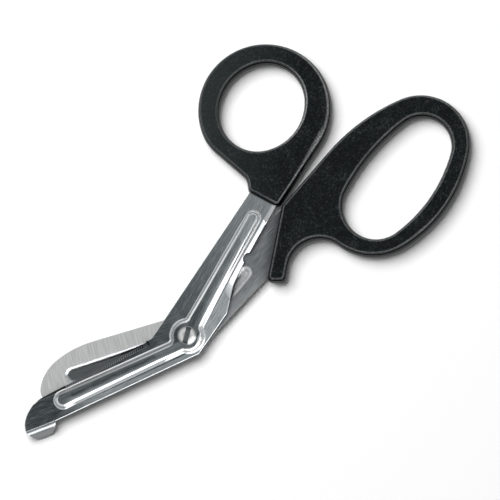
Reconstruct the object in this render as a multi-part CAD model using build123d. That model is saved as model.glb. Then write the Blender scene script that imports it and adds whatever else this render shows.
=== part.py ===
from build123d import *
import os
from math import acos, atan, cos, degrees, radians, sin, sqrt, tan

# Bandage scissors lying flat, closed. The origin is on the pivot axis at the level
# of the table. +X runs from the blades to the handles, +Y to the thumb ring side.
# All lengths are in millimetres and all angles in degrees. A straight side is named
# by its direction and by how far it passes to the right of the pivot.

# Sheet that both blades are pressed from, and the level where they slide
HANDLE_THICK = 8.0
SHEET = 1.5
BLADE_PLAY = 0.1
EDGE_BREAK = 0.25

# Stiffening beads and the round boss at the pivot, pressed outwards
BEAD_RISE = 1.1
BEAD_FLANK = 45.0
BEAD_CROWN_RADIUS = 1.2
BEAD_ROOT_RADIUS = 0.8
BEAD_LIP_RADIUS = BEAD_ROOT_RADIUS + SHEET
BOSS_RADIUS = 6.2
BACK_BOSS_RADIUS = 5.4
BOSS_BLEND = 1.2

# Footed blade: its outer side is up, and the thumb ring is on its shank
EDGE_ANGLE = 173.7
EDGE_OFFSET = 4.8
EDGE_HEEL = 13.9
EDGE_TIP = 55.6
HEEL_STEP = 0.5
HEEL_RADIUS = 3.0
SPINE_ANGLE = 351.0
SPINE_OFFSET = 7.6
CORNER_ANGLE = 21.5
CORNER_OFFSET = 7.1
CORNER_RADIUS = 1.0
BELLY_ANGLE = 43.5
BELLY_OFFSET = 12.1
BELLY_RADIUS = 3.0
WAIST_ANGLE = 32.0
WAIST_OFFSET = 7.6
WAIST_RADIUS = 5.0
FAR_ANGLE = 27.0
FAR_OFFSET = 5.0
NEAR_ANGLE = 202.5
NEAR_OFFSET = 10.2
TIP_CROWN = (-63.4, 8.7)
NOTCH_PLACE = 35.0
NOTCH_CHORD = 4.0
NOTCH_DEPTH = 1.2
BLADE_BEAD_START = (-0.4, -2.2)
BLADE_BEAD_END = (-49.5, 5.9)
BLADE_BEAD_RADII = (2.7, 3.3)
SHANK_BEAD_ANGLE = 27.2
SHANK_BEAD_LENGTH = 48.6
SHANK_BEAD_RADII = (3.5, 2.65)
BEVEL_WIDTH = 1.3
BEVEL_LAND = 0.4
BEVEL_TIP = 47.0
TEETH_START = 15.5
TEETH_END = 46.0
TOOTH_PITCH = 0.8
TOOTH_DEPTH = 0.2
TOOTH_LEAN = 30.0

# Foot: a rounded lobe at the tip, folded down until it stands on the table
FOOT_FOLD = 68.0
FOOT_BEND_RADIUS = 0.8
FOOT_ANGLE = 347.2
FOOT_START = 55.3
FOOT_LENGTH = 11.5
FOOT_EDGE_RADIUS = 0.4
FOOT_TRIM = 0.3

# Round blade: its outer side is down, and the finger loop is on its shank
BACK_EDGE_ANGLE = 345.0
BACK_EDGE_OFFSET = 6.2
BACK_EDGE_HEEL = 12.0
BACK_SPINE_ANGLE = 162.4
BACK_SPINE_OFFSET = 8.15
BACK_SPINE_LENGTH = 33.0
BACK_NOSE_TOP = (-41.0, 19.55)
BACK_NOSE = (-50.3, 17.3)
BACK_NOSE_LOW = (-55.2, 11.4)
BACK_EDGE_TIP = 51.0
BACK_LOW_ANGLE = 13.2
BACK_LOW_OFFSET = 6.4
BACK_HIGH_ANGLE = 192.5
BACK_HIGH_OFFSET = 7.33
BACK_CORNER_RADIUS = 3.0
BACK_BEAD_ANGLE = 164.3
BACK_BEAD_LENGTH = 43.3
BACK_BEAD_RADII = (3.0, 3.3)
BACK_SHANK_BEAD_ANGLE = 14.3
BACK_SHANK_BEAD_LENGTH = 30.8
BACK_SHANK_BEAD_RADII = (3.4, 2.5)

# Tangs that the handles are moulded over
SHOULDER_DEPTH = 0.8
TANG_WIDTH = 7.5
TANG_LENGTH = 15.0
TANG_ROOT = 5.0
TANG_EYE = 3.0
RING_TANG_ANGLE = 30.0
LOOP_TANG_ANGLE = 12.5

# Moulded handles: each parts at half its thickness and is drafted both ways
DRAFT_INSET = 0.9
HANDLE_ROUND = 1.0
HANDLE_LIP = 0.4
HANDLE_CORNER = 2.0

# Thumb ring
RING_END_ANGLE = 117.3
RING_END_OFFSET = 56.0
RING_CENTRE = (68.65, 52.85)
RING_RADIUS = 24.1
RING_HOLE_CENTRE = (68.2, 53.9)
RING_HOLE_ANGLE = 19.2
RING_HOLE_STRETCH = 2.7
RING_HOLE_END_RADIUS = 13.6
RING_HOLE_FLAT_RADIUS = 17.7
RING_SIDE_ANGLE = 23.0
RING_CHEEK_ANGLE = 284.7
RING_CHEEK_INSET = 0.68
RING_CHEEK_RADIUS = 16.0
RING_NECK_ANGLE = 65.0
RING_NECK_RADIUS = 4.0
RING_CORNER = 2.0

# Finger loop
LOOP_END_ANGLE = 45.2
LOOP_END_OFFSET = 24.1
LOOP_SIDE_ANGLE = 195.5
LOOP_SIDE_OFFSET = 5.0
LOOP_NOSE = (107.64, 10.58)
LOOP_NOSE_RADIUS = 18.1
LOOP_HEEL = (82.68, 3.57)
LOOP_HEEL_RADIUS = 21.0
LOOP_TOP_RADIUS = 70.0
LOOP_LOW_RADIUS = 50.5
LOOP_HOLE_NOSE = (107.9, 9.64)
LOOP_HOLE_NOSE_RADIUS = 10.4
LOOP_HOLE_HEEL = (82.0, 0.9)
LOOP_HOLE_HEEL_RADIUS = 11.85
LOOP_HOLE_TOP_RADIUS = 75.0
LOOP_HOLE_LOW_RADIUS = 53.0
LOOP_COLLAR = 6.8
LOOP_COLLAR_ANGLE = 326.0
LOOP_COLLAR_LIP = 2.4
LOOP_CROTCH_RADIUS = 11.2

# Pivot screw and the nut under it
SCREW_DIAMETER = 4.0
SCREW_PLAY = 0.05
HEAD_DIAMETER = 7.0
HEAD_RIM = 0.35
HEAD_DOME = 0.95
SLOT_WIDTH = 1.9
SLOT_DEPTH = 0.7
SLOT_ANGLE = 41.5
NUT_DIAMETER = 8.4
NUT_CHAMFER = 0.4

# Levels and sizes that follow from the ones above
SLIDE_LEVEL = HANDLE_THICK / 2
FRONT_LEVEL = SLIDE_LEVEL + BLADE_PLAY / 2
BACK_LEVEL = SLIDE_LEVEL - BLADE_PLAY / 2
BOSS_TOP = FRONT_LEVEL + SHEET + BEAD_RISE
BOSS_BOTTOM = BACK_LEVEL - SHEET - BEAD_RISE
DRAFT_ANGLE = degrees(atan(DRAFT_INSET / (HANDLE_THICK / 2)))
PIVOT_BORE = SCREW_DIAMETER / 2 + SCREW_PLAY
BASE = (Align.CENTER, Align.CENTER, Align.MIN)


def polar(radius, angle):
    return Vector(radius * cos(radians(angle)), radius * sin(radians(angle)))


def on_line(angle, offset_, along):
    """A point on a line of this direction, which passes the pivot at this offset."""
    return polar(offset_, angle - 90) + polar(along, angle)


def crossing(angle_1, offset_1, angle_2, offset_2):
    """Where two such lines cross."""
    n1 = polar(1, angle_1 - 90)
    n2 = polar(1, angle_2 - 90)
    span = n1.X * n2.Y - n1.Y * n2.X
    x = (offset_1 * n2.Y - offset_2 * n1.Y) / span
    y = (offset_2 * n1.X - offset_1 * n2.X) / span
    return Vector(x, y)


def toward(centre, point, radius):
    """The point of a circle that lies towards another point."""
    return centre + (point - centre).normalized() * radius


def short_arc(centre, radius, start, end):
    """The shorter arc of a circle between two of its points."""
    return ThreePointArc(start, toward(centre, (start + end) / 2, radius), end)


def round_corner(face, point, radius):
    """Round the corner of a flat face that lies nearest to a point."""
    corner = face.vertices().sort_by_distance((point.X, point.Y, 0))[0]
    return fillet(corner, radius)


def tapered_slot(start, radius_1, end, radius_2):
    """Two end circles and the straight sides between them."""
    first = Pos(start.X, start.Y) * Circle(radius_1)
    last = Pos(end.X, end.Y) * Circle(radius_2)
    return make_hull(first.edges() + last.edges())


def bead_pattern(boss, beads, inset):
    """Beads that run out of the round boss, corners eased, drawn in by an inset."""
    pattern = Sketch() + Circle(boss - inset)
    for start, radius_1, end, radius_2 in beads:
        pattern += tapered_slot(start, radius_1 - inset, end, radius_2 - inset)
    near = boss * 1.6
    inner = [v for v in pattern.vertices() if v.center().length < near]
    return fillet(inner, BOSS_BLEND + inset)


def bead_form(boss, beads, inset):
    """Solid with sloping flanks that stands on a bead pattern."""
    shrink = BEAD_RISE * tan(radians(BEAD_FLANK))
    root = bead_pattern(boss, beads, inset)
    crown = Pos(0, 0, BEAD_RISE) * bead_pattern(boss, beads, inset + shrink)
    return loft([root.face(), crown.face()], ruled=True)


def press_beads(plate, boss, beads):
    """Press beads up out of a plate that lies on z = 0, and bore it for the pivot."""
    rise = Pos(0, 0, SHEET) * bead_form(boss, beads, 0)
    pressed = plate + rise
    crown = pressed.edges().group_by(Axis.Z)[-1]
    pressed = fillet(crown, BEAD_CROWN_RADIUS)
    marks = [e.center() for e in rise.edges().group_by(Axis.Z)[0]]
    roots = [e for e in pressed.edges() if min((e.center() - m).length for m in marks) < 0.01]
    pressed = fillet(roots, BEAD_ROOT_RADIUS)
    hollow = bead_form(boss, beads, SHEET * tan(radians(BEAD_FLANK / 2)))
    marks = [e.center() for e in hollow.edges().group_by(Axis.Z)[0]]
    pressed -= hollow
    lips = [e for e in pressed.edges() if min((e.center() - m).length for m in marks) < 0.01]
    pressed = fillet(lips, BEAD_LIP_RADIUS)
    return pressed - Cylinder(PIVOT_BORE, 4 * SHEET)


def tang(end_angle, end_offset, angle_1, offset_1, angle_2, offset_2, angle):
    """Narrow end of a shank, from the middle of its end line, with an eye to key it."""
    side_1 = crossing(angle_1, offset_1, end_angle, end_offset)
    side_2 = crossing(angle_2, offset_2, end_angle, end_offset)
    start = (side_1 + side_2) / 2
    length = TANG_ROOT + TANG_LENGTH
    bar = Pos(length / 2 - TANG_ROOT, 0) * RectangleRounded(length, TANG_WIDTH, 1.5)
    eye = Pos(TANG_LENGTH * 0.6, 0) * Circle(TANG_EYE / 2)
    return Pos(start.X, start.Y) * Rot(0, 0, angle) * (bar - eye)


def edge_bevel(angle, offset_, start, end):
    """Wedge that takes the outer side of a plate on z = 0 down to its cutting edge."""
    over = SHEET + 1
    profile = Polygon((-1, BEVEL_LAND), (0, BEVEL_LAND), (BEVEL_WIDTH, SHEET),
                      (BEVEL_WIDTH, over), (-1, over), align=None)
    foot = on_line(angle, offset_, start)
    inward = polar(1, angle + 90)
    plane = Plane(origin=foot, x_dir=inward, z_dir=polar(1, angle))
    return extrude(plane * profile, end - start)


def break_edges(plate, sharp):
    """Ease the outer edges of a plate, apart from those whose middles are named."""
    top = plate.edges().group_by(Axis.Z)[-1]
    eased = [e for e in top if min((e.center() - s).length for s in sharp) > SHEET * 1.5]
    return fillet(eased, EDGE_BREAK)


def footed_corners():
    """Corners of the footed blade's outline, by name."""
    end = RING_END_OFFSET + SHOULDER_DEPTH
    step = EDGE_OFFSET + HEEL_STEP
    fold = on_line(SPINE_ANGLE, SPINE_OFFSET, -FOOT_START)
    return dict(
        fold_tip=fold - polar(FOOT_LENGTH, FOOT_ANGLE),
        fold_root=fold,
        spine=crossing(SPINE_ANGLE, SPINE_OFFSET, CORNER_ANGLE, CORNER_OFFSET),
        belly=crossing(CORNER_ANGLE, CORNER_OFFSET, BELLY_ANGLE, BELLY_OFFSET),
        waist=crossing(BELLY_ANGLE, BELLY_OFFSET, WAIST_ANGLE, WAIST_OFFSET),
        far_root=crossing(WAIST_ANGLE, WAIST_OFFSET, FAR_ANGLE, FAR_OFFSET),
        far_end=crossing(FAR_ANGLE, FAR_OFFSET, RING_END_ANGLE, end),
        near_end=crossing(NEAR_ANGLE, NEAR_OFFSET, RING_END_ANGLE, end),
        bay=crossing(NEAR_ANGLE, NEAR_OFFSET, EDGE_ANGLE, step),
        step=on_line(EDGE_ANGLE, step, EDGE_HEEL),
        heel=on_line(EDGE_ANGLE, EDGE_OFFSET, EDGE_HEEL + HEEL_STEP),
        edge_tip=on_line(EDGE_ANGLE, EDGE_OFFSET, EDGE_TIP),
    )


def footed_outline():
    """Flat outline of the footed blade, without its tang."""
    c = footed_corners()
    rim = Polyline(*c.values())
    tip = Spline(c["edge_tip"], TIP_CROWN, c["fold_tip"],
                 tangents=[polar(1, EDGE_ANGLE), polar(1, FOOT_ANGLE - 90)])
    face = make_face(rim + tip)
    face = round_corner(face, c["spine"], CORNER_RADIUS)
    face = round_corner(face, c["belly"], BELLY_RADIUS)
    face = round_corner(face, c["waist"], WAIST_RADIUS)
    return round_corner(face, c["bay"], HEEL_RADIUS)


def shank_notch():
    """Small hollow in the far side of the footed blade's shank."""
    radius = ((NOTCH_CHORD / 2) ** 2 + NOTCH_DEPTH ** 2) / (2 * NOTCH_DEPTH)
    centre = on_line(FAR_ANGLE, FAR_OFFSET + radius - NOTCH_DEPTH, NOTCH_PLACE)
    return Pos(centre.X, centre.Y) * Circle(radius)


def foot():
    """Bend and rounded lobe of the tip, on a plate that lies on z = 0."""
    drop = FRONT_LEVEL - FOOT_BEND_RADIUS * (1 - cos(radians(FOOT_FOLD)))
    reach = drop / sin(radians(FOOT_FOLD))
    half = FOOT_LENGTH / 2
    section = Plane.XZ * Pos(0, FOOT_BEND_RADIUS + SHEET / 2) * Rectangle(FOOT_LENGTH, SHEET)
    bend = revolve(section, Axis((0, 0, 0), (-1, 0, 0)), FOOT_FOLD)
    lobe = make_face(ThreePointArc((-half, 0), (0, reach), (half, 0)) + Line((half, 0), (-half, 0)))
    flap = extrude(Pos(0, 0, FOOT_BEND_RADIUS) * lobe, SHEET)
    rim = flap.edges().group_by(Axis.Z)[-1].sort_by(Edge.length)[-1]
    flap = Rot(-FOOT_FOLD, 0, 0) * fillet(rim, FOOT_EDGE_RADIUS)
    depth = (FOOT_BEND_RADIUS + SHEET) * sin(radians(FOOT_FOLD)) + reach * cos(radians(FOOT_FOLD))
    round_ = ThreePointArc((-half, 0), (0, depth + FOOT_TRIM), (half, 0)) + Line((half, 0), (-half, 0))
    trim = extrude(Pos(0, 0, -2 * FRONT_LEVEL) * make_face(round_), 4 * FRONT_LEVEL)
    place = (footed_corners()["fold_tip"] + footed_corners()["fold_root"]) / 2
    turn = Pos(place.X, place.Y, -FOOT_BEND_RADIUS) * Rot(0, 0, FOOT_ANGLE + 180)
    return turn * ((bend + flap) & trim)


def edge_teeth(angle, offset_, start, end):
    """Slanting grooves ground into a cutting edge's bevel, one pitch apart."""
    rise = atan((SHEET - BEVEL_LAND) / BEVEL_WIDTH)
    along = polar(1, angle)
    upward = polar(cos(rise), angle + 90) + Vector(0, 0, sin(rise))
    run = upward * cos(radians(TOOTH_LEAN)) + along * sin(radians(TOOTH_LEAN))
    across = run.cross(upward.cross(along))
    length = 2 * BEVEL_WIDTH / (cos(rise) * cos(radians(TOOTH_LEAN)))
    half = TOOTH_PITCH / 2
    groove = Polygon((-half, TOOTH_DEPTH), (0, -TOOTH_DEPTH), (half, TOOTH_DEPTH), align=None)
    teeth = []
    for i in range(int((end - start) / TOOTH_PITCH) + 1):
        mouth = on_line(angle, offset_, start + i * TOOTH_PITCH) + Vector(0, 0, BEVEL_LAND)
        plane = Plane(origin=mouth - run * (length / 4), x_dir=across, z_dir=run)
        teeth.append(extrude(plane * groove, length))
    return teeth


def footed_blade():
    """Stamped blade with the foot, its outer side up."""
    c = footed_corners()
    plate = extrude(footed_outline() - shank_notch(), SHEET)
    sharp = [(c["heel"] + c["edge_tip"]) / 2, (c["fold_tip"] + c["fold_root"]) / 2,
             (c["near_end"] + c["far_end"]) / 2, (c["step"] + c["heel"]) / 2]
    plate = break_edges(plate, [s + Vector(0, 0, SHEET) for s in sharp])
    plate += extrude(tang(RING_END_ANGLE, RING_END_OFFSET, NEAR_ANGLE, NEAR_OFFSET,
                          FAR_ANGLE, FAR_OFFSET, RING_TANG_ANGLE), SHEET)
    blade_bead = (Vector(*BLADE_BEAD_START), BLADE_BEAD_RADII[0],
                  Vector(*BLADE_BEAD_END), BLADE_BEAD_RADII[1])
    shank_bead = (Vector(0, 0), SHANK_BEAD_RADII[0],
                  polar(SHANK_BEAD_LENGTH, SHANK_BEAD_ANGLE), SHANK_BEAD_RADII[1])
    plate = press_beads(plate, BOSS_RADIUS, [blade_bead, shank_bead])
    plate -= edge_bevel(EDGE_ANGLE, EDGE_OFFSET, EDGE_HEEL, BEVEL_TIP)
    plate -= edge_teeth(EDGE_ANGLE, EDGE_OFFSET, TEETH_START, TEETH_END)
    return Pos(0, 0, FRONT_LEVEL) * (plate + foot())


def round_corners():
    """Corners of the round blade's outline, by name."""
    end = LOOP_END_OFFSET + SHOULDER_DEPTH
    return dict(
        edge_tip=on_line(BACK_EDGE_ANGLE, BACK_EDGE_OFFSET, -BACK_EDGE_TIP),
        low=crossing(BACK_EDGE_ANGLE, BACK_EDGE_OFFSET, BACK_LOW_ANGLE, BACK_LOW_OFFSET),
        low_end=crossing(BACK_LOW_ANGLE, BACK_LOW_OFFSET, LOOP_END_ANGLE, end),
        high_end=crossing(BACK_HIGH_ANGLE, BACK_HIGH_OFFSET, LOOP_END_ANGLE, end),
        high=crossing(BACK_HIGH_ANGLE, BACK_HIGH_OFFSET, BACK_SPINE_ANGLE, BACK_SPINE_OFFSET),
        spine_end=on_line(BACK_SPINE_ANGLE, BACK_SPINE_OFFSET, BACK_SPINE_LENGTH),
    )


def round_outline():
    """Outline of the round blade seen from above, without its tang."""
    c = round_corners()
    rim = Polyline(*c.values())
    nose = Spline(c["spine_end"], BACK_NOSE_TOP, BACK_NOSE, BACK_NOSE_LOW, c["edge_tip"],
                  tangents=[polar(1, BACK_SPINE_ANGLE), polar(1, BACK_EDGE_ANGLE)])
    face = make_face(rim + nose)
    face = round_corner(face, c["low"], BACK_CORNER_RADIUS)
    return round_corner(face, c["high"], BACK_CORNER_RADIUS)


def round_blade():
    """Stamped blade with the wide round nose, its outer side down."""
    c = round_corners()
    plate = extrude(mirror(round_outline(), Plane.XZ), SHEET)
    sharp = [(c["low"] + c["edge_tip"]) / 2, (c["low_end"] + c["high_end"]) / 2]
    plate = break_edges(plate, [Vector(s.X, -s.Y, SHEET) for s in sharp])
    bar = tang(LOOP_END_ANGLE, LOOP_END_OFFSET, BACK_LOW_ANGLE, BACK_LOW_OFFSET,
               BACK_HIGH_ANGLE, BACK_HIGH_OFFSET, LOOP_TANG_ANGLE)
    plate += extrude(mirror(bar, Plane.XZ), SHEET)
    blade_bead = (Vector(0, 0), BACK_BEAD_RADII[0],
                  polar(BACK_BEAD_LENGTH, -BACK_BEAD_ANGLE), BACK_BEAD_RADII[1])
    shank_bead = (Vector(0, 0), BACK_SHANK_BEAD_RADII[0],
                  polar(BACK_SHANK_BEAD_LENGTH, -BACK_SHANK_BEAD_ANGLE),
                  BACK_SHANK_BEAD_RADII[1])
    plate = press_beads(plate, BACK_BOSS_RADIUS, [blade_bead, shank_bead])
    plate -= edge_bevel(180 - BACK_EDGE_ANGLE, BACK_EDGE_OFFSET, BACK_EDGE_HEEL, BACK_EDGE_TIP)
    return Pos(0, 0, BACK_LEVEL) * Rot(180, 0, 0) * plate


def flat_centre(nose, nose_radius, heel, heel_radius, radius, side):
    """Centre of a flat arc that touches two circles, on the left (1) or right (-1)."""
    span = nose - heel
    along = span.normalized()
    across = Vector(-along.Y, along.X)
    a = radius - heel_radius
    b = radius - nose_radius
    t = (a * a - b * b + span.length ** 2) / (2 * span.length)
    return heel + along * t - across * side * sqrt(a * a - t * t)


def arc_oval(nose, nose_radius, heel, heel_radius, top_radius, low_radius):
    """Oval of four arcs: two end circles and two flat arcs that touch both."""
    along = (nose - heel).normalized()
    top = flat_centre(nose, nose_radius, heel, heel_radius, top_radius, 1)
    low = flat_centre(nose, nose_radius, heel, heel_radius, low_radius, -1)
    top_nose, top_heel = toward(top, nose, top_radius), toward(top, heel, top_radius)
    low_nose, low_heel = toward(low, nose, low_radius), toward(low, heel, low_radius)
    rim = [short_arc(top, top_radius, top_nose, top_heel),
           ThreePointArc(top_heel, heel - along * heel_radius, low_heel),
           short_arc(low, low_radius, low_heel, low_nose),
           ThreePointArc(low_nose, nose + along * nose_radius, top_nose)]
    return make_face(Curve() + rim)


def moulding(outline):
    """Handle of this outline at the parting line, drafted up and down, edges rounded."""
    half = extrude(outline, HANDLE_THICK / 2, taper=DRAFT_ANGLE)
    body = half + mirror(half, Plane.XY)
    rims = body.edges().group_by(Axis.Z)
    body = fillet(rims[0] + rims[-1], HANDLE_ROUND)
    return Pos(0, 0, SLIDE_LEVEL) * body


def ring_outline():
    """Thumb ring's outline at the parting line."""
    centre = Vector(*RING_CENTRE)
    right = polar(1, RING_SIDE_ANGLE - 90)
    left = polar(1, RING_CHEEK_ANGLE - 90)
    side = centre + right * RING_RADIUS
    inner = crossing(NEAR_ANGLE, NEAR_OFFSET + HANDLE_LIP, RING_END_ANGLE, RING_END_OFFSET)
    outer = crossing(RING_SIDE_ANGLE, side.dot(right), RING_END_ANGLE, RING_END_OFFSET)
    reach = RING_RADIUS - RING_CHEEK_INSET
    neck_offset = inner.dot(polar(1, RING_NECK_ANGLE - 90))
    neck = crossing(RING_CHEEK_ANGLE, centre.dot(left) + reach, RING_NECK_ANGLE, neck_offset)
    turn = degrees(acos(reach / RING_RADIUS))
    cheek = centre + polar(RING_RADIUS, RING_CHEEK_ANGLE - 90 - turn)
    crown = centre + polar(RING_RADIUS, RING_SIDE_ANGLE + 45)
    ring = make_face(Polyline(cheek, neck, inner, outer, side) + ThreePointArc(side, crown, cheek))
    ring = round_corner(ring, cheek, RING_CHEEK_RADIUS)
    ring = round_corner(ring, neck, RING_NECK_RADIUS)
    ring = round_corner(ring, outer, RING_CORNER)
    ring = round_corner(ring, inner, HANDLE_CORNER)
    stretch = polar(RING_HOLE_STRETCH, RING_HOLE_ANGLE)
    middle = Vector(*RING_HOLE_CENTRE)
    return ring - arc_oval(middle + stretch, RING_HOLE_END_RADIUS, middle - stretch,
                           RING_HOLE_END_RADIUS, RING_HOLE_FLAT_RADIUS, RING_HOLE_FLAT_RADIUS)


def loop_outline():
    """Finger loop's outline at the parting line."""
    nose = Vector(*LOOP_NOSE)
    heel = Vector(*LOOP_HEEL)
    up = polar(1, LOOP_SIDE_ANGLE - 90)
    back = polar(1, LOOP_SIDE_ANGLE)
    level = LOOP_SIDE_OFFSET - LOOP_TOP_RADIUS
    gap = level - nose.dot(up)
    slide = sqrt((LOOP_TOP_RADIUS - LOOP_NOSE_RADIUS) ** 2 - gap ** 2)
    top = up * level + back * (nose.dot(back) + slide)
    low = flat_centre(nose, LOOP_NOSE_RADIUS, heel, LOOP_HEEL_RADIUS, LOOP_LOW_RADIUS, -1)

    right = polar(1, LOOP_END_ANGLE - 90)
    ahead = polar(1, LOOP_END_ANGLE)
    level = LOOP_END_OFFSET + LOOP_COLLAR + LOOP_CROTCH_RADIUS
    gap = level - heel.dot(right)
    slide = sqrt((LOOP_HEEL_RADIUS + LOOP_CROTCH_RADIUS) ** 2 - gap ** 2)
    crotch = right * level + ahead * (heel.dot(ahead) - slide)

    high = crossing(LOOP_SIDE_ANGLE, LOOP_SIDE_OFFSET, LOOP_END_ANGLE, LOOP_END_OFFSET)
    foot_ = crossing(BACK_LOW_ANGLE, BACK_LOW_OFFSET, LOOP_END_ANGLE, LOOP_END_OFFSET)
    foot_ -= ahead * LOOP_COLLAR_LIP
    collar = crossing(LOOP_COLLAR_ANGLE, foot_.dot(polar(1, LOOP_COLLAR_ANGLE - 90)),
                      LOOP_END_ANGLE, LOOP_END_OFFSET + LOOP_COLLAR)
    side_end = top + up * LOOP_TOP_RADIUS
    collar_end = crotch - right * LOOP_CROTCH_RADIUS
    heel_start = toward(heel, crotch, LOOP_HEEL_RADIUS)
    low_start = toward(low, heel, LOOP_LOW_RADIUS)
    nose_start = toward(low, nose, LOOP_LOW_RADIUS)
    nose_end = toward(top, nose, LOOP_TOP_RADIUS)
    rim = [Polyline(side_end, high, foot_, collar, collar_end),
           short_arc(crotch, LOOP_CROTCH_RADIUS, collar_end, heel_start),
           short_arc(heel, LOOP_HEEL_RADIUS, heel_start, low_start),
           short_arc(low, LOOP_LOW_RADIUS, low_start, nose_start),
           ThreePointArc(nose_start, toward(nose, heel, -LOOP_NOSE_RADIUS), nose_end),
           short_arc(top, LOOP_TOP_RADIUS, nose_end, side_end)]
    loop = make_face(Curve() + rim)
    for corner in (high, foot_, collar):
        loop = round_corner(loop, corner, HANDLE_CORNER)
    return loop - arc_oval(Vector(*LOOP_HOLE_NOSE), LOOP_HOLE_NOSE_RADIUS,
                           Vector(*LOOP_HOLE_HEEL), LOOP_HOLE_HEEL_RADIUS,
                           LOOP_HOLE_TOP_RADIUS, LOOP_HOLE_LOW_RADIUS)


def pivot_screw():
    """Slotted screw with a domed head, which clamps both blades."""
    seat = BOSS_TOP + SCREW_PLAY
    shank = Cylinder(SCREW_DIAMETER / 2, seat, align=BASE)
    rim = Pos(0, 0, seat) * Cylinder(HEAD_DIAMETER / 2, HEAD_RIM, align=BASE)
    ball = ((HEAD_DIAMETER / 2) ** 2 + HEAD_DOME ** 2) / (2 * HEAD_DOME)
    crown = seat + HEAD_RIM + HEAD_DOME
    dome = Pos(0, 0, crown - ball) * Sphere(ball)
    dome = split(dome, Plane.XY.offset(seat + HEAD_RIM), keep=Keep.TOP)
    slot = Pos(0, 0, crown) * Rot(0, 0, SLOT_ANGLE) * Box(2 * HEAD_DIAMETER, SLOT_WIDTH, 2 * SLOT_DEPTH)
    return shank + rim + dome - slot


def pivot_nut():
    """Round nut under the round blade; its flat end rests on the table."""
    nut = Cylinder(NUT_DIAMETER / 2, BOSS_BOTTOM, align=BASE)
    nut = chamfer(nut.edges().group_by(Axis.Z)[0], NUT_CHAMFER)
    return nut - Cylinder(SCREW_DIAMETER / 2, 4 * BOSS_BOTTOM)


def build():
    footed = footed_blade()
    rounded = round_blade()
    nodes = dict(
        footed_blade=footed,
        round_blade=rounded,
        thumb_ring=moulding(ring_outline()) - footed,
        finger_loop=moulding(loop_outline()) - rounded,
        pivot_screw=pivot_screw(),
        pivot_nut=pivot_nut(),
    )
    os.makedirs("parts", exist_ok=True)
    for name, solid in nodes.items():
        export_step(solid, "parts/" + name + ".step")


build()
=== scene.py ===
from math import cos, radians, sin

import bpy
from mathutils import Matrix, Vector

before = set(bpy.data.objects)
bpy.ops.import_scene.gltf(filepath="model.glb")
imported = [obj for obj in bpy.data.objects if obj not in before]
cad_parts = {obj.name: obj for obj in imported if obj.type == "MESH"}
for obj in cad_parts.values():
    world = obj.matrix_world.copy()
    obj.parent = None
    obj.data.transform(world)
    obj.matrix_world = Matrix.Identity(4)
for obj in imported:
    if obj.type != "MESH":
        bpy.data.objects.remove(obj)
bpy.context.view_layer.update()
bpy.ops.object.select_all(action="DESELECT")


# Round blade: the lower half's blade, stamped from 1.5 mm stainless sheet. Its inner
# face was ground across the edge on a wheel, and the bead was pressed away from the
# other blade, so it shows here as a groove.
def plug(tree, node, inputs):
    """Sets a node's inputs, or links them where a socket is given."""
    for name, value in dict(inputs).items():
        if isinstance(value, bpy.types.NodeSocket):
            tree.links.new(value, node.inputs[name])
        else:
            node.inputs[name].default_value = value


def add(tree, kind, inputs=(), **settings):
    """A shader node with its settings and its inputs."""
    made = tree.nodes.new(kind)
    for name, value in settings.items():
        setattr(made, name, value)
    plug(tree, made, inputs)
    return made


def new_finish(name):
    """A material, its node tree and its shader, ready for lines, wear and painted light."""
    material = bpy.data.materials.new(name)
    material.use_nodes = True
    return material, material.node_tree, material.node_tree.nodes["Principled BSDF"]


def place(tree):
    """Where a point of the piece lies, in metres."""
    return add(tree, "ShaderNodeTexCoord").outputs["Object"]


def axes(tree):
    """The X, Y and Z of a point of the piece, each by itself."""
    return add(tree, "ShaderNodeSeparateXYZ", {"Vector": place(tree)}).outputs


def across(tree, start, angle):
    """Distance in metres from a line of the sheet, more to the far left of it."""
    turned = add(tree, "ShaderNodeVectorMath", {0: place(tree), 1: (*start, 0)}, operation="SUBTRACT")
    side = (-sin(radians(angle)), cos(radians(angle)), 0)
    return add(tree, "ShaderNodeVectorMath", {0: turned.outputs[0], 1: side},
               operation="DOT_PRODUCT").outputs["Value"]


def lines(tree, angle, spacing, length, detail=3.0):
    """Noise drawn out into fine lines at an angle in the plane of the sheet."""
    turned = add(tree, "ShaderNodeMapping", {"Vector": place(tree), "Rotation": (0, 0, radians(-angle))})
    drawn = add(tree, "ShaderNodeMapping", {"Vector": turned.outputs[0],
                                            "Scale": (1 / length, 1 / spacing, 1 / spacing)})
    return add(tree, "ShaderNodeTexNoise", {"Vector": drawn.outputs[0], "Scale": 1.0, "Detail": detail,
                                            "Roughness": 0.6}).outputs["Fac"]


def spread(tree, value, start, stop, low, high):
    """A value's range start to stop brought to low to high, held at both ends."""
    return add(tree, "ShaderNodeMapRange", {"Value": value, "From Min": start, "From Max": stop,
                                            "To Min": low, "To Max": high}).outputs["Result"]


def rise(tree, value, start, stop):
    """Nothing up to start, and all of it from stop on."""
    return spread(tree, value, start, stop, 0, 1)


def fade(tree, value, start, stop):
    """All of it up to start, and nothing from stop on."""
    return spread(tree, value, start, stop, 1, 0)


def choose(tree, amount, first, second):
    """Value between two values."""
    mixed = add(tree, "ShaderNodeMix", data_type="FLOAT")
    for socket, value in zip((mixed.inputs[0], mixed.inputs[2], mixed.inputs[3]), (amount, first, second)):
        tree.links.new(value, socket)
    return mixed.outputs[0]


def blend_colour(tree, amount, dark, light):
    """Colour between two colours, each a socket or three numbers."""
    ends = [c if isinstance(c, bpy.types.NodeSocket) else (*c, 1) for c in (dark, light)]
    mixed = add(tree, "ShaderNodeMix", data_type="RGBA")
    tree.links.new(amount, mixed.inputs[0])
    for socket, value in zip([s for s in mixed.inputs if s.type == "RGBA"], ends):
        if isinstance(value, bpy.types.NodeSocket):
            tree.links.new(value, socket)
        else:
            socket.default_value = value
    return [s for s in mixed.outputs if s.type == "RGBA"][0]


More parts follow.
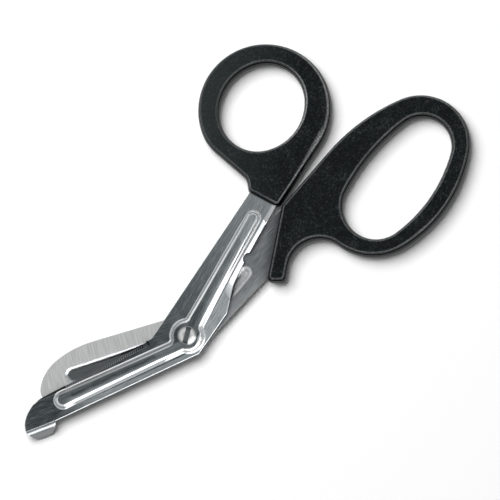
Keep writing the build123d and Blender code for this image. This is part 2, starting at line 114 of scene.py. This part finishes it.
def emboss(tree, surface, height, depth):
    """Height pattern cut into the surface, its depth in metres."""
    bump = add(tree, "ShaderNodeBump", {"Height": height, "Strength": 1.0, "Distance": depth})
    tree.links.new(bump.outputs["Normal"], surface.inputs["Normal"])


def give(node, material):
    """The finish goes on every slot of a node of the model."""
    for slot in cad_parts[node].material_slots:
        slot.material = material


material, tree, surface = new_finish("ground_inner_face")
spot = axes(tree)
shank = rise(tree, spot["X"], 0.004, 0.010)
grinding = choose(tree, shank, lines(tree, angle=70, spacing=0.00028, length=0.008),
                  lines(tree, angle=14, spacing=0.00022, length=0.005))
grooves = lines(tree, angle=166, spacing=0.00022, length=0.006)
stripe = rise(tree, grinding, 0.36, 0.64)
blade_tone = blend_colour(tree, stripe, (0.39, 0.395, 0.39), (0.55, 0.555, 0.55))
shank_tone = blend_colour(tree, stripe, (0.095, 0.105, 0.11), (0.235, 0.245, 0.25))

# The shank is paler along its lower edge, a painted highlight, and dark beside the moulding, a painted
# reflection of it.
shank_corner, edge_angle, moulding_angle = (0.0357, -0.0001), 12, 45.7
edge_highlight = spread(tree, across(tree, shank_corner, edge_angle), 0.001, 0.0055, 0.5, 0)
shank_tone = blend_colour(tree, edge_highlight, shank_tone, (0.42, 0.43, 0.435))
moulding_reflection = spread(tree, across(tree, shank_corner, moulding_angle), 0, 0.0048, 0.9, 0)
shank_tone = blend_colour(tree, moulding_reflection, shank_tone, (0.03, 0.034, 0.036))

ground_tone = blend_colour(tree, shank, blade_tone, shank_tone)
pressed_tone = blend_colour(tree, rise(tree, grooves, 0.36, 0.64), (0.36, 0.37, 0.375), (0.56, 0.57, 0.575))
flat = rise(tree, spot["Z"], 0.00385, 0.00394)
pressed_metal = spread(tree, shank, 0, 1, 1.0, 0.35)
ground_metal = spread(tree, shank, 0, 1, 0.45, 0.6)
plug(tree, surface, {"Base Color": blend_colour(tree, flat, pressed_tone, ground_tone),
                     "Roughness": spread(tree, flat, 0, 1, 0.26, 0.5),
                     "Metallic": choose(tree, flat, pressed_metal, ground_metal)})
emboss(tree, surface, grinding, 0.000003)
give("round_blade", material)


# Finger loop: glass-filled black plastic moulded over the round blade's tang in two
# half moulds. It has a satin grain all over, a pale painted highlight along its upper
# rim, and painted reflection and shade on its sides.
def patches(tree, size, detail=3.0):
    """Noise in patches of a size in metres."""
    return add(tree, "ShaderNodeTexNoise", {"Vector": place(tree), "Scale": 1 / size, "Detail": detail,
                                            "Roughness": 0.6}).outputs["Fac"]


def maths(tree, operation, first, second):
    """What an operation makes of two values."""
    return add(tree, "ShaderNodeMath", {0: first, 1: second}, operation=operation).outputs[0]


def product(tree, *values):
    """The values multiplied, from the first to the last."""
    result = values[0]
    for value in values[1:]:
        result = maths(tree, "MULTIPLY", result, value)
    return result


def total(tree, *values):
    """The values added up, from the first to the last."""
    result = values[0]
    for value in values[1:]:
        result = maths(tree, "ADD", result, value)
    return result


def moulded(name):
    """Satin black plastic with a fine mould grain, a painted rim highlight and painted side shading."""
    material, tree, surface = new_finish(name)
    black = (0.003, 0.0042, 0.0044)
    grain = patches(tree, 0.0006)
    cloud = patches(tree, 0.007)
    height = axes(tree)["Z"]
    mixed = total(tree, grain, product(tree, cloud, 0.3))
    top_tone = blend_colour(tree, rise(tree, mixed, 0.69, 0.88), black, (0.027, 0.034, 0.035))
    scratches = lines(tree, angle=55, spacing=0.0004, length=0.012, detail=1.0)
    scratches = product(tree, rise(tree, scratches, 0.68, 0.74),
                        rise(tree, patches(tree, 0.015, detail=1.0), 0.52, 0.6))
    top_tone = blend_colour(tree, scratches, top_tone, (0.04, 0.042, 0.042))
    # A pale line along the upper rim, broken up by the grain, is a painted highlight.
    rim = product(tree, rise(tree, height, 0.0075, 0.0078), fade(tree, height, 0.0079, 0.00797))
    rim_highlight = product(tree, rim, spread(tree, mixed, 0.5, 0.75, 0.3, 1))
    top_tone = blend_colour(tree, rim_highlight, top_tone, (0.12, 0.128, 0.13))
    # The sides are painted: a paler middle band as a painted reflection of the table, and a dark band under
    # the rim as painted shade.
    side_reflection_and_shade = blend_colour(tree, rise(tree, height, 0.0015, 0.002), black, [c * 4 for c in black])
    side_reflection_and_shade = blend_colour(tree, rise(tree, height, 0.0058, 0.0062), side_reflection_and_shade, [c * 0.3 for c in black])
    on_top = rise(tree, height, 0.0069, 0.0072)
    gloss = choose(tree, on_top, spread(tree, height, 0.0056, 0.006, 0.12, 0),
                   spread(tree, mixed, 0.5, 0.8, 0.14, 0.24))
    plug(tree, surface, {"Base Color": blend_colour(tree, on_top, side_reflection_and_shade, top_tone),
                         "Roughness": spread(tree, mixed, 0.45, 0.85, 0.3, 0.42),
                         "Specular IOR Level": gloss})
    emboss(tree, surface, grain, 0.000008)
    return material, tree, surface


material, tree, surface = moulded("loop_satin_black")
give("finger_loop", material)


# Footed blade: the upper half's blade, of the same sheet, polished lengthwise on its
# outer side. The cutting edge is ground to a bevel with slanting teeth, and the tip is
# folded down into a blunt foot.
material, tree, surface = new_finish("polished_outer_face")
pivot, blade_bead_start = (0, 0), (-0.0004, -0.0022)
blade_bead_angle, shank_bead_angle, edge_angle = -9.4, 27.2, -6.3
spot = axes(tree)
shank = rise(tree, spot["X"], -0.003, 0.003)
brushed = choose(tree, shank, lines(tree, angle=168, spacing=0.00025, length=0.004),
                 lines(tree, angle=30, spacing=0.00025, length=0.004))
haze = choose(tree, shank, lines(tree, angle=168, spacing=0.0012, length=0.03),
              lines(tree, angle=30, spacing=0.0012, length=0.03))
streaks = total(tree, brushed, product(tree, haze, 0.25))
tone = blend_colour(tree, rise(tree, streaks, 0.47, 0.78), (0.42, 0.44, 0.45), (0.62, 0.64, 0.65))

# Places on the sheet: the distance from the beads' middle, and the levels of the bead.
aside = choose(tree, shank, across(tree, blade_bead_start, blade_bead_angle),
               across(tree, pivot, shank_bead_angle))
on_crown = rise(tree, spot["Z"], 0.0062, 0.0064)
below_crown = fade(tree, spot["Z"], 0.0062, 0.0064)

# The ground edge, with its teeth as far as the plain stretch near the pivot.
tooth_lean, tooth_turns, tooth_phase = 0.756, 7854, 0.559
into_edge = across(tree, pivot, edge_angle)
bevel = product(tree, rise(tree, into_edge, 0.0034, 0.0036), fade(tree, spot["X"], -0.0130, -0.0125))
slanted = total(tree, across(tree, pivot, edge_angle + 90), product(tree, into_edge, tooth_lean))
teeth = maths(tree, "COSINE", total(tree, product(tree, slanted, tooth_turns), tooth_phase), 0)
# Dark ticks painted between the teeth are painted shade in the gullets, and the stretch by the heel is
# painted dark as painted shade.
gullet_and_heel_shade = maths(tree, "MAXIMUM", rise(tree, teeth, -0.6, 0.6), rise(tree, spot["X"], -0.022, -0.015))
toothed = blend_colour(tree, gullet_and_heel_shade, (0.22, 0.23, 0.235), (0.05, 0.055, 0.058))

# Painted light on the sheet: painted shade on one flank of the blade's bead and on its slope,
# painted highlights on its crown and on the strips beside the beads, painted shade on the
# sheet's wall, a pale painted highlight on one flank of the bead from the pivot along the
# shank, and painted shade on the foot.
shaded, lit = (0.1, 0.105, 0.108), (0.95, 0.95, 0.95)
flank = product(tree, rise(tree, spot["Z"], 0.00556, 0.00562), below_crown,
                fade(tree, aside, -0.0024, -0.0020), rise(tree, aside, -0.0046, -0.0040),
                spread(tree, spot["X"], -0.012, -0.006, 0.95, 0), rise(tree, spot["X"], -0.050, -0.046))
strip = choose(tree, shank, rise(tree, aside, 0.0027, 0.0030), rise(tree, aside, 0.0017, 0.0020))
strip_level = choose(tree, shank, fade(tree, spot["Z"], 0.0057, 0.0060), on_crown)
strip_end = maths(tree, "MAXIMUM", shank, fade(tree, aside, 0.0034, 0.0036))
bright = product(tree, strip, strip_level, strip_end)
ridge = product(tree, on_crown, spread(tree, shank, 0, 1, 0.4, 0))
slope = product(tree, rise(tree, spot["Z"], 0.0059, 0.0062), rise(tree, aside, 0.0012, 0.0018),
                spread(tree, shank, 0, 1, 0.65, 0))
wall = product(tree, fade(tree, spot["Z"], 0.0050, 0.0053), fade(tree, aside, -0.0045, -0.0040),
               rise(tree, spot["X"], -0.050, -0.048))
# A pale, less metallic painted highlight on one flank of the bead, from the pivot along the shank.
near_half = maths(tree, "MAXIMUM", fade(tree, aside, -0.0015, 0.0), rise(tree, spot["X"], 0.0425, 0.0445))
pale_flank_highlight = product(tree, rise(tree, spot["Z"], 0.0056, 0.0058), below_crown, near_half,
                 rise(tree, spot["X"], -0.012, -0.006))
# Painted shade on the folded foot.
foot_shade = product(tree, fade(tree, spot["Z"], 0.0051, 0.0054), fade(tree, spot["X"], -0.052, -0.050))
for part, colour in ((bevel, toothed), (flank, shaded), (bright, lit), (ridge, lit), (slope, shaded),
                     (wall, (0.04, 0.042, 0.044)), (pale_flank_highlight, (0.85, 0.85, 0.85)), (foot_shade, (0.2, 0.21, 0.215))):
    tone = blend_colour(tree, part, tone, colour)
plug(tree, surface, {"Base Color": tone, "Roughness": spread(tree, streaks, 0.47, 0.78, 0.15, 0.23),
                     "Metallic": spread(tree, pale_flank_highlight, 0, 1, 1.0, 0.15)})

# The lie of the pressed sheet: a rounded crown, strips that lean, and a slight bow.
crown_height, near_curve, far_curve, bow_curve = 0.00028, 52, 27, -0.7
off_pivot = add(tree, "ShaderNodeVectorMath", {0: place(tree)}, operation="LENGTH").outputs["Value"]
along = product(tree, rise(tree, spot["X"], -0.0515, -0.046), fade(tree, spot["X"], 0.035, 0.044),
                rise(tree, off_pivot, 0.006, 0.015))
curve = product(tree, aside, aside, spread(tree, aside, -0.0003, 0.0003, near_curve, far_curve))
arch = maths(tree, "MAXIMUM", maths(tree, "SUBTRACT", crown_height, curve), 0)
into_side = maths(tree, "MINIMUM", total(tree, aside, 0.0023), 0)
eased = product(tree, maths(tree, "MAXIMUM", into_side, -0.0013),
                spread(tree, spot["X"], 0.010, 0.030, 0, -0.4), fade(tree, spot["X"], 0.030, 0.046))
crown = total(tree, product(tree, arch, along), eased)
beside = maths(tree, "MINIMUM", total(tree, aside, 0.0036), 0)
drawn = product(tree, spread(tree, spot["X"], 0.020, 0.027, 0, 0.34),
                fade(tree, spot["X"], 0.0455, 0.0465))
tilt = product(tree, beside, drawn)
lean = product(tree, beside, spread(tree, spot["X"], -0.058, -0.040, 0, 0.16))
from_tip = total(tree, spot["X"], 0.055)
bow = product(tree, from_tip, from_tip, bow_curve)
brush_depth = product(tree, streaks, 0.0000006)
emboss(tree, surface, total(tree, crown, bow, total(tree, tilt, lean), brush_depth), 1.0)
give("footed_blade", material)


# Thumb ring: the same black plastic, moulded over the footed blade's tang. Its upper rim
# carries a speckled painted highlight, most of all on the side that faces the finger loop,
# and a painted sheen lies on the side away from it.
material, tree, surface = moulded("ring_satin_black")
ring_middle, near_way = (0.06865, 0.05285, 0.008), (0.72, -0.69, 0)
neck_side, neck_angle = (0.0823, 0.0336), 27.2
spot = axes(tree)
from_centre = add(tree, "ShaderNodeVectorMath", {0: place(tree), 1: ring_middle}, operation="SUBTRACT")
reach = add(tree, "ShaderNodeVectorMath", {0: from_centre.outputs[0]}, operation="LENGTH").outputs["Value"]
near_side = add(tree, "ShaderNodeVectorMath", {0: from_centre.outputs[0], 1: near_way},
                operation="DOT_PRODUCT").outputs["Value"]
on_top = rise(tree, spot["Z"], 0.0071, 0.0073)
# A speckled painted highlight on the upper rim, outside and round the hole, on the side towards the finger
# loop.
round_rim = product(tree, rise(tree, reach, 0.0222, 0.0236),
                    rise(tree, maths(tree, "DIVIDE", near_side, reach), 0.86, 0.96))
straight_rim = product(tree, fade(tree, across(tree, neck_side, neck_angle), 0.0006, 0.0020),
                       rise(tree, spot["X"], 0.056, 0.074), fade(tree, spot["X"], 0.080, 0.084))
speckled_rim_highlight = product(tree, maths(tree, "MAXIMUM", round_rim, straight_rim), on_top)
hole_rim = product(tree, spread(tree, spot["Z"], 0.0079, 0.00797, 0.7, 0),
                   rise(tree, near_side, 0.006, 0.014), rise(tree, spot["Z"], 0.0072, 0.0074))
speckled_rim_highlight = product(tree, maths(tree, "MAXIMUM", speckled_rim_highlight, hole_rim),
               spread(tree, patches(tree, 0.0005, detail=2.0), 0.42, 0.6, 0.2, 1))
# A painted sheen lifts the top on the side away from the finger loop.
sheen = product(tree, spread(tree, near_side, -0.020, 0.010, 0.65, 0), on_top)
plain = surface.inputs["Base Color"].links[0].from_socket
plain = blend_colour(tree, sheen, plain, (0.021, 0.026, 0.027))
plug(tree, surface, {"Base Color": blend_colour(tree, speckled_rim_highlight, plain, (0.34, 0.35, 0.35))})
give("thumb_ring", material)


# Pivot nut: turned from stainless bar, with facing rings on its flat end. It sits on the
# screw's end, against the round blade's boss.
def from_axis(tree):
    """Distance of a point from the pivot's axis, in metres."""
    flat_place = add(tree, "ShaderNodeMapping", {"Vector": place(tree), "Scale": (1, 1, 0)})
    return add(tree, "ShaderNodeVectorMath", {0: flat_place.outputs[0]}, operation="LENGTH").outputs["Value"]


def turned_steel(name, roughness, ring_turns, ring_depth):
    """Bare steel with the fine rings that facing leaves round the pivot's axis."""
    material, tree, surface = new_finish(name)
    rings = maths(tree, "SINE", product(tree, from_axis(tree), ring_turns), 0)
    plug(tree, surface, {"Metallic": 1.0, "Roughness": roughness})
    emboss(tree, surface, rings, ring_depth)
    return material, tree, surface


material, tree, surface = turned_steel("turned_nut", roughness=0.3, ring_turns=40000, ring_depth=0.000004)
plug(tree, surface, {"Base Color": (0.58, 0.58, 0.57, 1)})
give("pivot_nut", material)


# Pivot screw: turned and polished stainless, with a domed head and a screwdriver slot.
# It goes down through both blades, which turn on its plain shank.
material, tree, surface = turned_steel("polished_screw", roughness=0.2, ring_turns=30000, ring_depth=0.000002)
# The head is painted pale round its middle as a painted highlight and dark further out as painted shade.
outer = rise(tree, from_axis(tree), 0.0019, 0.0034)
tone = blend_colour(tree, outer, (0.76, 0.76, 0.75), (0.13, 0.14, 0.14))
plug(tree, surface, {"Base Color": tone})
give("pivot_screw", material)


# Table: a pale smooth top that runs out of view on every side and keeps the shadow. The
# scissors only lie on it.
bpy.ops.mesh.primitive_plane_add(size=6, location=(0.03, 0.03, 0))
table = bpy.context.object
table.name = "table_top"
bpy.ops.object.transform_apply(location=True, rotation=True, scale=True)
material = bpy.data.materials.new("pale_table")
material.use_nodes = True
tree = material.node_tree
tree.nodes.clear()
paper = add(tree, "ShaderNodeBsdfDiffuse", {"Color": (0.95, 0.95, 0.95, 1)})
path = add(tree, "ShaderNodeLightPath").outputs
seen = total(tree, path["Is Camera Ray"], path["Is Glossy Ray"], path["Is Transmission Ray"])
glow = add(tree, "ShaderNodeEmission", {"Strength": product(tree, seen, 0.06)})
lit_paper = add(tree, "ShaderNodeAddShader", {0: paper.outputs[0], 1: glow.outputs[0]})
add(tree, "ShaderNodeOutputMaterial", {"Surface": lit_paper.outputs[0]})
table.data.materials.append(material)
bpy.ops.object.select_all(action="DESELECT")


# Light: a soft box over the far left that casts the shadow, and a white tent with a dark
# opening overhead, which the polished steel mirrors.
def soft_box(name, azimuth, height, distance, width, tall, power):
    """Area lamp that faces the scissors from an azimuth and a height in degrees."""
    aim = Vector((cos(radians(azimuth)) * cos(radians(height)), sin(radians(azimuth)) * cos(radians(height)),
                  sin(radians(height))))
    middle_of_scissors = Vector((0.03, 0.02, 0))
    bpy.ops.object.light_add(type="AREA", location=middle_of_scissors + aim * distance)
    lamp = bpy.context.object
    lamp.name = name
    lamp.data.shape = "RECTANGLE"
    lamp.data.size = width
    lamp.data.size_y = tall
    lamp.data.energy = power
    lamp.rotation_euler = aim.to_track_quat("Z", "Y").to_euler()
    lamp.visible_camera = False
    return lamp


key = soft_box("far_left_box", azimuth=101, height=67, distance=1.4, width=1.0, tall=1.0, power=24.6)
key.visible_glossy = False
card = soft_box("near_right_card", azimuth=281, height=30, distance=0.7, width=0.9, tall=0.75, power=6.5)
card.visible_diffuse = False

world = bpy.data.worlds.new("studio_room")
world.use_nodes = True
bpy.context.scene.world = world
tree = world.node_tree
opening = (0.0257, 0.1717, 0.9848)
sky = add(tree, "ShaderNodeTexCoord").outputs["Generated"]
near_opening = add(tree, "ShaderNodeVectorMath", {0: sky, 1: opening},
                   operation="DOT_PRODUCT").outputs["Value"]
tent = add(tree, "ShaderNodeValToRGB", {"Fac": near_opening})
greys = ((0.0, 0.3), (0.5, 0.5), (0.72, 0.7), (0.866, 0.5), (0.945, 0.28), (0.985, 0.11), (1.0, 0.01))
for position, grey in greys[1:-1]:
    tent.color_ramp.elements.new(position)
for stop, (position, grey) in zip(tent.color_ramp.elements, greys):
    stop.position = position
    cool = 0.2 * (1 - grey) ** 4
    stop.color = (grey * (1 - cool), grey, grey * (1 + cool / 3), 1)
path = add(tree, "ShaderNodeLightPath").outputs
plug(tree, tree.nodes["Background"], {"Color": tent.outputs["Color"],
                                      "Strength": spread(tree, path["Is Glossy Ray"], 0, 1, 0.1, 1.6)})

# Camera: nearly straight above, with a long lens, leaning a little to the near right.
# The scissors fill its frame as they do in the photograph.
distance, view_width, level, aim_right, aim_up = 1.8, 0.1785, 0.0076, 0.02258, 0.03042
view_from = Vector((-0.0257, -0.1717, 0.9848)).normalized()
upward = Vector((0.5553, 0.8317, 0))
upward = (upward - view_from * upward.dot(view_from)).normalized()
rightward = upward.cross(view_from)
middle = Vector((0, 0, level)) + rightward * aim_right + upward * aim_up
bpy.ops.object.camera_add()
camera = bpy.context.object
camera.name = "long_lens"
camera.matrix_world = Matrix((rightward, upward, view_from)).transposed().to_4x4()
camera.location = middle + view_from * distance
camera.data.sensor_fit = "HORIZONTAL"
camera.data.sensor_width = 36
camera.data.lens = 36 * distance / view_width
camera.data.clip_end = 100
bpy.context.scene.camera = camera

bpy.context.scene.view_settings.view_transform = "Standard"
